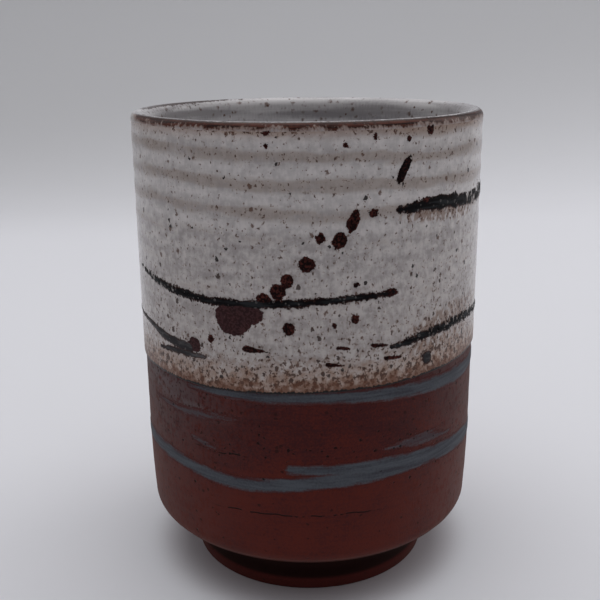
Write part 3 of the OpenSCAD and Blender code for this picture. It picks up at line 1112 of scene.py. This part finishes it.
def on_clay(shares):
    """Heights from shares of the bare zone, from the heel up to the dip line."""
    return [HEEL_HEIGHT + share * bare_height for share in shares]


upper_last = len(UPPER_DROPS) - 1
upper_heights = [
    slant_at(UPPER_SPAN[0] + (UPPER_SPAN[1] - UPPER_SPAN[0]) * i / upper_last) - drop
    for i, drop in enumerate(UPPER_DROPS)
]
upper_bm = new_marks()
brush_mark(upper_bm, UPPER_SPAN, upper_heights, UPPER_WIDTHS, body_r, SLIP_CROWN, UPPER_SEED)
lower_bm = new_marks()
brush_mark(lower_bm, LOWER_SPAN, on_clay(LOWER_SHARES), LOWER_WIDTHS, body_r, SLIP_CROWN, LOWER_SEED)
wisp_bm = new_marks()
for i, span in enumerate(WISP_SPANS):
    heights = on_clay(WISP_SHARES[i])
    brush_mark(wisp_bm, span, heights, WISP_WIDTHS[i], body_r, WISP_CROWN, WISP_SEED + i)
print("slip bands: 2, wisps:", len(WISP_SPANS))

# %% The slip finish
SLIP_GREY = shade(77, 81, 87)
SLIP_DARK = shade(57, 57, 64)
SLIP_PIT = shade(24, 18, 19)
SLIP_SHINE = 0.15
SLIP_OUT = -0.4


def slip_finish(name, bite, dry, soft, cover, pitted):
    """Streaky slip that thins to the clay at its edge, which bite and dry roughen."""
    slip = Finish(name)
    place = slip.place()
    streaks = slip.cloud(slip.place(across=0.1, upright=1.4), 1.0, detail=4.0, roughness=0.6)
    grain = slip.cloud(place, 0.4)
    colour = slip.blend(slip.step(streaks * 0.7 + grain * 0.3, 0.35, 0.65), SLIP_DARK, SLIP_GREY)
    depth = slip.mark("inner") + (grain - 0.5) * bite + (streaks - 0.5) * dry
    thin = 1 - slip.step(depth, SLIP_OUT, soft) * cover
    colour = slip.blend(thin, colour, CLAY_MID)
    pits = slip.specks(slip.stirred(place, 0.6, 0.6), 1.5, pitted, widest=0.3, soft=0.1)
    colour = slip.blend(pits, colour, SLIP_PIT)
    return slip.surface(
        Base_Color=colour,
        Roughness=0.55 + grain * 0.2,
        Specular_IOR_Level=SLIP_SHINE,
        Alpha=slip.step(depth, SLIP_OUT, SLIP_OUT + 0.04),
        Normal=slip.relief(grain * 0.6 + streaks * 0.5 - pits, 0.05),
    )


slip_material = slip_finish("grey_slip", bite=0.7, dry=1.4, soft=0.5, cover=1.0, pitted=0.06)
wisp_material = slip_finish("dry_slip", bite=1.6, dry=3.0, soft=0.6, cover=0.62, pitted=0.3)
dress(closed_marks(upper_bm), "slip_band_high", ["upper_slip_band"], "grey_slip", slip_material)
dress(closed_marks(lower_bm), "slip_band_low", ["lower_slip_band"], "grey_slip", slip_material)
dress(closed_marks(wisp_bm), "slip_traces", ["slip_wisps"], "grey_slip", wisp_material)

# %% [markdown]
# ## The dark strokes
# Four strokes of iron-black pigment cross the glaze. They sank into the glaze in the kiln, so they are
# low and fairly smooth, with a toothed edge, and they burnt to brown where the pigment was thin. Where
# the brush ran dry the paint skips. The stroke at the lower left is grey, and it has a prong.

# %% Lay the dark strokes
STROKE_CROWN = 0.13

LONG_SPAN = (-70, 26.5)
LONG_RISES = [20.5, 19.1, 18.05, 17.8, 18.4, 19.0, 19.6]
LONG_WIDTHS = [0.7, 1.7, 1.7, 1.8, 1.7, 1.4, 1.3]
LONG_DRY = [1.15, 1.05, 0.5, 0, 0, 0, 0, 0]
LONG_SEED = 50.0
HIGH_SPAN = (26, 120)
HIGH_DROPS = [15.3, 14.8, 15.5, 15.3, 15.2, 15.3, 15.5]
HIGH_WIDTHS = [1.4, 2.9, 2.5, 3.3, 2.6, 1.5, 0.4]
HIGH_DRY = [0, 0.2, 1.0, 1.1, 1.0, 0.9]
HIGH_SEED = 60.0
RIGHT_SPAN = (24.5, 105)
RIGHT_RISES = [8.4, 9.6, 10.1, 9.4, 9, 8.6]
RIGHT_WIDTHS = [1.1, 2.0, 2.1, 1.8, 1.1, 0.4]
RIGHT_DRY = [0, 0.6, 1.05, 1.0, 0.9]
RIGHT_SEED = 70.0
LEFT_SPAN = (-110, -37)
LEFT_RISES = [9, 9.2, 9.2, 9.1, 8.9, 7.4, 6.95]
LEFT_WIDTHS = [0.3, 0.4, 0.5, 0.7, 1.1, 2, 2]
LEFT_SEED = 80.0
PRONG_SPAN = (-55, -32)
PRONG_RISES = [4.7, 5.3, 5.5, 5.6]
PRONG_WIDTHS = [0.5, 1.2, 1.3, 0.9]
PRONG_SEED = 90.0


def above_dip(rises):
    """Heights from rises above the dip line."""
    return [DIP_HEIGHT + rise for rise in rises]


def below_rim(drops):
    """Heights from drops below the rim band."""
    return [rim_bottom - drop for drop in drops]


def dark_stroke(bm, span, heights, widths, seed, dry=(0, 0)):
    """Brush one dark stroke on the glaze, and hand back its bmesh."""
    brush_mark(bm, span, heights, widths, glaze_r, STROKE_CROWN, seed, dry=dry)
    return bm


long_bm = dark_stroke(new_marks(), LONG_SPAN, above_dip(LONG_RISES), LONG_WIDTHS, LONG_SEED, LONG_DRY)
high_bm = dark_stroke(new_marks(), HIGH_SPAN, below_rim(HIGH_DROPS), HIGH_WIDTHS, HIGH_SEED, HIGH_DRY)
right_heights = above_dip(RIGHT_RISES)
right_bm = dark_stroke(new_marks(), RIGHT_SPAN, right_heights, RIGHT_WIDTHS, RIGHT_SEED, RIGHT_DRY)
left_bm = dark_stroke(new_marks(), LEFT_SPAN, above_dip(LEFT_RISES), LEFT_WIDTHS, LEFT_SEED)
dark_stroke(left_bm, PRONG_SPAN, above_dip(PRONG_RISES), PRONG_WIDTHS, PRONG_SEED)
print("faces of the long stroke:", len(long_bm.faces))

# %% The stroke finish
STROKE_BLACK = shade(11, 9, 11)
STROKE_SHEEN = shade(38, 40, 42)
STROKE_GREY = shade(46, 44, 46)
STROKE_PALE_SHEEN = shade(82, 80, 81)
STROKE_RUST = shade(70, 42, 36)
STROKE_GLINT = shade(120, 114, 112)
STROKE_SHINE = 0.05


def stroke_finish(name, dark, streak, bite, glints_and_pits):
    """Brushed pigment with painted sheen streaks and painted glints, and a toothed, rusty edge, which
    skips where the brush ran dry.
    """
    stroke = Finish(name)
    place = stroke.place()
    teeth = stroke.cloud(stroke.place(upright=0.7), 0.5, detail=3.0, roughness=0.65)
    lumps = stroke.cloud(place, 1.4, detail=3.0, roughness=0.6)
    streaks = stroke.cloud(stroke.place(across=0.2, upright=1.2), 1.0, detail=3.0)
    depth = stroke.mark("inner") + (teeth - 0.5) * bite + (lumps - 0.5) * bite
    gaps = stroke.cloud(stroke.place(upright=0.5), 0.9, detail=3.0, roughness=0.6)
    skips = stroke.step(gaps + stroke.mark("dry") * 0.26, 0.74, 0.78)
    # Painted sheen: lighter streaks along the stroke stand in for its satin highlights.
    colour = stroke.blend(stroke.step(streaks, 0.45, 0.7), dark, streak)
    colour = stroke.blend((1 - stroke.step(depth, 0.05, 0.35)) * 0.6, colour, STROKE_RUST)
    rough = stroke.stirred(place, 0.5, 0.3)
    # Painted glints: pale rings round the small pits stand in for light caught on their rims.
    stroke_glints = stroke.specks(rough, 0.8, glints_and_pits, widest=0.46, soft=0.1)
    pits = stroke.specks(rough, 0.8, glints_and_pits, widest=0.26, soft=0.1)
    colour = stroke.blend((stroke_glints - pits) * 0.45, colour, STROKE_GLINT)
    return stroke.surface(
        Base_Color=colour,
        Roughness=0.34 + teeth * 0.25,
        Specular_IOR_Level=STROKE_SHINE,
        Alpha=stroke.step(depth, -0.1, 0.1) * (1 - skips),
        Normal=stroke.relief(teeth + lumps - pits * 0.5, 0.08),
    )


black_material = stroke_finish("black_stroke", STROKE_BLACK, STROKE_SHEEN, bite=1.6, glints_and_pits=0.55)
grey_material = stroke_finish("grey_stroke", STROKE_GREY, STROKE_PALE_SHEEN, bite=1.1, glints_and_pits=0.1)
dress(closed_marks(long_bm), "stroke_long", ["long_stroke"], "dark_stroke", black_material)
dress(closed_marks(high_bm), "stroke_high", ["upper_right_stroke"], "dark_stroke", black_material)
dress(closed_marks(right_bm), "stroke_right", ["lower_right_stroke"], "dark_stroke", black_material)
dress(closed_marks(left_bm), "stroke_left", ["lower_left_stroke"], "dark_stroke", grey_material)

# %% [markdown]
# ## Dabs and drops of iron
# The tip of the brush touched down a few times near the dip line, and a flick of it threw a trail of
# drops up towards the lip. A drop starts as a circle, gets four insets and a centre, and is domed. Its
# outline is made lobed by noise, because the pigment bled into the glaze, and a drop close to the lip
# rolls over it with the glaze. Each drop also carries a value that says whether it dried matte or was
# scorched. The large blotch is made of four drops that overlap.

# %% Lay the dabs
DAB_ANGLES = [-15.3, 10.2, 7.8, 25.8, 21.2]
DAB_RISES = [8.6, 9.2, 5.8, 6.1, 9.1]
DAB_LENGTHS = [5.7, 2.8, 3.8, 4.2, 3.6]
DAB_WIDTHS = [[1.2, 1.2, 0.5, 0.4], [0.6, 0.8, 0.4], [0.8, 0.8, 0.4], [0.7, 0.9, 0.5], [0.7, 0.8, 0.4]]
DAB_FALL = 0.3
DAB_CROWN = 0.1
DAB_SPACING = 0.15
DAB_SEED = 100.0
DAB_SEED_STEP = 3


def wall_angle(length):
    """The angle that a length along the glazed wall takes up."""
    return math.degrees(length / glaze_r)


dab_bm = new_marks()
for i, angle in enumerate(DAB_ANGLES):
    reach = wall_angle(DAB_LENGTHS[i] / 2)
    level = DIP_HEIGHT + DAB_RISES[i]
    span = (angle - reach, angle + reach)
    heights = [level + DAB_FALL / 2, level - DAB_FALL / 2]
    seed = DAB_SEED + DAB_SEED_STEP * i
    brush_mark(dab_bm, span, heights, DAB_WIDTHS[i], glaze_r, DAB_CROWN, seed, spacing=DAB_SPACING)
print("dabs:", len(DAB_ANGLES))

# %% Lay the drops
DROP_CROWN = 0.17
DROP_SHOULDER = 0.6
DROP_SEGMENTS = 48
DROP_INSETS = (0.12, 0.16, 0.2, 0.2)
DROP_LOBE = 0.14
LOBE_RATE = 1.4
DROP_FRINGE = 0.45
DROP_SEED_STEP = 5.0

# Each drop has an angle, a rise above the dip line, a width, a tallness, a slant and a matte value.
DROPS = [
    (-36.8, 7.7, 3.6, 3, 0, 1),
    (-30.2, 9.8, 1.4, 1.6, 0, 0),
    (-5.6, 13.4, 2.4, 2.4, 0, 0),
    (7.5, 13.9, 0.9, 0.9, 0, 0),
    (13.7, 15, 1.7, 1.9, 0, 0),
    (13.9, 21.8, 1, 1, 0, 0),
    (-5.9, 22.8, 2.4, 2.8, 0, 0),
    (-0.3, 26.1, 3.2, 3, 0, 0),
    (3.6, 31, 2, 2, 0, 0),
    (9, 30.5, 2.8, 3, 0.3, 0),
    (12.9, 34.1, 2.6, 3.8, 0.8, 0),
    (18.8, 35.5, 1.8, 1.6, 0, 0),
]
# The drops near the lip have a drop below the rim band in the place of the rise.
RIM_DROPS = [
    (28.3, 7.7, 3.2, 3.4, 1.9, -1),
    (37.5, 0.3, 1.6, 2.4, 0, 0),
    (29.9, 2, 1, 1, 0, 0),
    (10.6, 2.6, 0.9, 0.9, 0, 0),
    (-11.2, 2.6, 0.7, 1.1, 0, 0),
    (-11.4, 0.3, 1.6, 0.8, 0, 0),
    (19.1, 1.2, 0.7, 1.1, 0, 0),
]
RIM_DROP_SEED = 90
# These drops sit on the strokes, and have no slant or matte value.
SEATED_DROPS = [
    (-12.7, 19.2, 2.9, 2.3),
    (-8.6, 20.7, 3.1, 3.1),
    (24.4, 19.6, 3.4, 1.5),
    (36.8, 36.7, 2.2, 1.2),
]
SEATED_SEED = 150
GREY_DAB = (38.8, 4.4, 2.7, 2.9)
GREY_DAB_SEED = 190


def over_lip(angle, level, swell):
    """A point on the glazed wall, raised by swell, that rolls over the lip with the glaze."""
    bend = LIP_SHOULDER + coat
    past = max(0.0, level - shoulder_centre[1]) / bend
    radius = shoulder_centre[0] + (bend + swell) * math.cos(past) + wall_shift(angle, level)
    rise = min(level, shoulder_centre[1]) + (bend + swell) * math.sin(past)
    return wall_point(angle, radius, rise + lip_sag(angle, level))


def iron_drop(bm, seed, angle, height, across, tall, slant=0, matte=0, finish=0):
    """Add one low, lobed drop to a bmesh; matte is 1 for a dry drop and -1 for a scorched one."""
    before = set(bm.faces)
    made = bmesh.ops.create_circle(bm, cap_ends=True, segments=DROP_SEGMENTS, radius=1.0)
    middle = made["verts"][0].link_faces[0]
    for width in DROP_INSETS:
        bmesh.ops.inset_region(bm, faces=[middle], thickness=width, use_even_offset=True)
    bmesh.ops.poke(bm, faces=[middle])
    faces = [face for face in bm.faces if face not in before]
    inner_mark = bm.verts.layers.float["inner"]
    dry_mark = bm.verts.layers.float["dry"]
    half = min(across, tall) / 2
    grow = 1 + DROP_FRINGE / half
    for vert in {vert for face in faces for vert in face.verts}:
        x, y = vert.co.x * grow, vert.co.y * grow
        inner = (1 - math.hypot(x, y)) * half
        turn = math.atan2(y, x)
        edge = 1 + DROP_LOBE * ripple(LOBE_RATE * math.cos(turn), LOBE_RATE * math.sin(turn), seed)
        x, y = x * edge, y * edge
        level = height + y * tall / 2 + slant * x
        place = angle + wall_angle(x * across / 2)
        swell = TIP_SKIN + (DROP_CROWN - TIP_SKIN) * ease(inner, 0.0, DROP_SHOULDER)
        vert[inner_mark] = inner
        vert[dry_mark] = matte
        vert.co = over_lip(place, level, swell)
    for face in faces:
        face.material_index = finish
    bury(bm, faces)


drop_bm = new_marks()
for i, (angle, rise, *form) in enumerate(DROPS):
    iron_drop(drop_bm, DROP_SEED_STEP * i, angle, DIP_HEIGHT + rise, *form)
for i, (angle, drop, *form) in enumerate(RIM_DROPS):
    iron_drop(drop_bm, RIM_DROP_SEED + DROP_SEED_STEP * i, angle, rim_bottom - drop, *form)
for i, (angle, rise, *form) in enumerate(SEATED_DROPS):
    iron_drop(drop_bm, SEATED_SEED + DROP_SEED_STEP * i, angle, DIP_HEIGHT + rise, *form)
angle, rise, *form = GREY_DAB
iron_drop(dab_bm, GREY_DAB_SEED, angle, DIP_HEIGHT + rise, *form, finish=1)
print("drops:", len(DROPS) + len(RIM_DROPS) + len(SEATED_DROPS))

# %% The blotch
# Each part of the blotch has an angle, a height, a width and a tallness.
BLOTCH = [
    (-22.3, 65.8, 7.4, 6.2),
    (-16.6, 67.4, 5.0, 3.8),
    (-25.4, 66.6, 3.8, 4.4),
    (-20.5, 68.2, 7.4, 2.8),
]
BLOTCH_SEED = 200
BLOTCH_SEED_STEP = 7.0

for i, form in enumerate(BLOTCH):
    iron_drop(drop_bm, BLOTCH_SEED + BLOTCH_SEED_STEP * i, *form, matte=1)
print("drops in the blotch:", len(BLOTCH))

# %% The iron finish
IRON_RED = shade(76, 37, 32)
IRON_DARK = shade(40, 17, 15)
IRON_BLACK = shade(7, 3, 3)
IRON_MATTE = shade(68, 46, 48)
IRON_GLINT = shade(104, 82, 78)
IRON_SHINE = 0.05


def iron_finish():
    """Iron-red drops with black craters and painted glints, dull where they dried matte."""
    iron = Finish("iron_drop")
    place = iron.place()
    teeth = iron.cloud(place, 0.35, roughness=0.6)
    lumps = iron.cloud(place, 1.1)
    pool = iron.cloud(place, 1.6, detail=3.0)
    depth = iron.mark("inner") + (teeth - 0.5) * 0.8 + (lumps - 0.5) * 0.8
    colour = iron.blend(iron.step(teeth * 0.4 + pool * 0.7, 0.45, 0.7), IRON_DARK, IRON_RED)
    rough = iron.stirred(place, 0.5, 0.5)
    matte = iron.mark("dry")
    colour = iron.blend(matte * 0.75, colour, IRON_MATTE)
    colour = iron.blend(iron.step(pool - matte * 0.24, 0.68, 0.8) * 0.9, colour, IRON_BLACK)
    craters = iron.step(iron.cloud(place, 0.45), 0.46, 0.54) * iron.step(depth, 0.05, 0.3)
    colour = iron.blend(craters * (0.9 - matte * 0.45), colour, IRON_BLACK)
    # Painted glints: sparse pale flecks stand in for highlights on the drops.
    iron_glints = iron.specks(rough, 0.8, 0.12, widest=0.34, soft=0.2)
    colour = iron.blend(iron_glints * 0.5, colour, IRON_GLINT)
    return iron.surface(
        Base_Color=colour,
        Roughness=0.34 + teeth * 0.25,
        Specular_IOR_Level=IRON_SHINE,
        Alpha=iron.step(depth, -0.07, 0.07),
        Normal=iron.relief(teeth + pool, 0.07),
    )


iron_material = iron_finish()
dress(closed_marks(dab_bm), "brush_dabs", ["short_dashes"], "iron_drop", iron_material, grey_material)
dress(closed_marks(drop_bm), "iron_drops", ["iron_splashes"], "iron_drop", iron_material)

# %% [markdown]
# ## Floor, backdrop and light
# The cup stands on a pale sweep: a floor that curves up into a backdrop. Painted shade darkens it
# towards the back, sooner on the left than on the right, and a painted shadow darkens it close round
# the foot. The light comes from above and from behind on both sides, which brightens the edges of the
# glaze and leaves the front soft.

# %% Make the sweep
SWEEP_WIDTH = 1.3
SWEEP_FRONT = -0.8
SWEEP_BACK = 0.75
SWEEP_CURVE = 0.35
SWEEP_TOP = 1.6
SWEEP_STEPS = 24

sweep_bm = bmesh.new()
front = [
    sweep_bm.verts.new((-SWEEP_WIDTH / 2, SWEEP_FRONT, 0)),
    sweep_bm.verts.new((SWEEP_WIDTH / 2, SWEEP_FRONT, 0)),
]
edges = [sweep_bm.edges.new(front)]


def extended(bm, edges, step):
    """Extrude the free edge of the sweep by a step, and hand back the new free edge."""
    made = bmesh.ops.extrude_edge_only(bm, edges=edges)["geom"]
    verts = [item for item in made if isinstance(item, bmesh.types.BMVert)]
    bmesh.ops.translate(bm, verts=verts, vec=step)
    return [item for item in made if isinstance(item, bmesh.types.BMEdge)]


edges = extended(sweep_bm, edges, (0, SWEEP_BACK - SWEEP_CURVE - SWEEP_FRONT, 0))
for step in range(SWEEP_STEPS):
    start = math.radians(90 * step / SWEEP_STEPS)
    stop = math.radians(90 * (step + 1) / SWEEP_STEPS)
    climb = SWEEP_CURVE * (math.cos(start) - math.cos(stop))
    edges = extended(sweep_bm, edges, (0, SWEEP_CURVE * (math.sin(stop) - math.sin(start)), climb))
extended(sweep_bm, edges, (0, 0, SWEEP_TOP - SWEEP_CURVE))
bmesh.ops.recalc_face_normals(sweep_bm, faces=sweep_bm.faces)

FLOOR_PALE = shade(217, 217, 222)
FLOOR_FAR_SHADE = shade(179, 179, 182)
FLOOR_PAINTED_SHADOW = shade(128, 102, 105)
FLOOR_SHADE_FADE = (350.0, 652.0)
FLOOR_SLANT = 0.16
FOOT_SHADOW_REACH = 14.0
PAPER_WAVE = 30.0
PAPER_WANDER = 10.0


def floor_finish():
    """Pale paper with painted shade towards the back and a painted shadow close round the foot."""
    floor = Finish("pale_sweep")
    place = floor.place()
    paper = floor.cloud(place, PAPER_WAVE, detail=3.0)
    away = floor.add("ShaderNodeSeparateXYZ", None, {0: place}, output="Y")
    slanted = away - away.also("X") * FLOOR_SLANT
    # Painted shade: the paper darkens towards the back, sooner on the left than on the right.
    fade = floor.step(slanted + (paper - 0.5) * PAPER_WANDER, *FLOOR_SHADE_FADE)
    colour = floor.blend(fade, FLOOR_PALE, FLOOR_FAR_SHADE)
    reach = floor.add(
        "ShaderNodeVectorMath", {"operation": "LENGTH"}, {0: floor.place(upright=0.0)}, output="Value",
    )
    # Painted shadow: the paper is darkened close round the foot.
    painted_shadow = 1 - floor.step(reach, foot_r, foot_r + FOOT_SHADOW_REACH)
    colour = floor.blend(painted_shadow * 0.5, colour, FLOOR_PAINTED_SHADOW)
    return floor.surface(Base_Color=colour, Roughness=0.8)


sweep_mesh = bpy.data.meshes.new("sweep")
sweep_bm.to_mesh(sweep_mesh)
sweep_bm.free()
sweep_mesh.shade_smooth()
sweep_mesh.materials.append(floor_finish())
sweep = bpy.data.objects.new("sweep", sweep_mesh)
bpy.context.collection.objects.link(sweep)
print("sweep faces:", len(sweep_mesh.polygons))

# %% Place the lamps
LAMP_AIM = Vector((0, 0, 0.05))
LAMP_NAMES = ["overhead", "left_back", "right_back"]
LAMP_PLACES = [(0.0, 0.16, 0.95), (-0.8, 0.3, 0.5), (0.8, 0.3, 0.5)]
LAMP_SIZES = [1.1, 0.6, 0.6]
LAMP_WATTS = [4.7, 0.6, 1.8]
WORLD_SIDE = 0.13
WORLD_TOP = 0.66
WORLD_TINT = (1.0, 1.0, 1.02, 1.0)

for i, name in enumerate(LAMP_NAMES):
    lamp_data = bpy.data.lights.new(name, "AREA")
    lamp_data.shape = "SQUARE"
    lamp_data.size = LAMP_SIZES[i]
    lamp_data.energy = LAMP_WATTS[i]
    lamp = bpy.data.objects.new(name, lamp_data)
    bpy.context.collection.objects.link(lamp)
    lamp.location = LAMP_PLACES[i]
    lamp.rotation_euler = (LAMP_AIM - lamp.location).to_track_quat("-Z", "Y").to_euler()


def studio_light():
    """Soft light from all round, brighter from above."""
    studio = Finish("studio", "worlds")
    way = studio.add("ShaderNodeTexCoord", output="Generated")
    up = studio.add("ShaderNodeSeparateXYZ", None, {0: way}, output="Z")
    level = WORLD_SIDE + studio.step(up, 0.0, 1.0) * (WORLD_TOP - WORLD_SIDE)
    glow = studio.add("ShaderNodeBackground", None, {"Color": WORLD_TINT, "Strength": level})
    return studio.end(glow, "ShaderNodeOutputWorld")


bpy.context.scene.world = studio_light()
print("lamps:", len(LAMP_NAMES), "world levels:", WORLD_SIDE, WORLD_TOP)
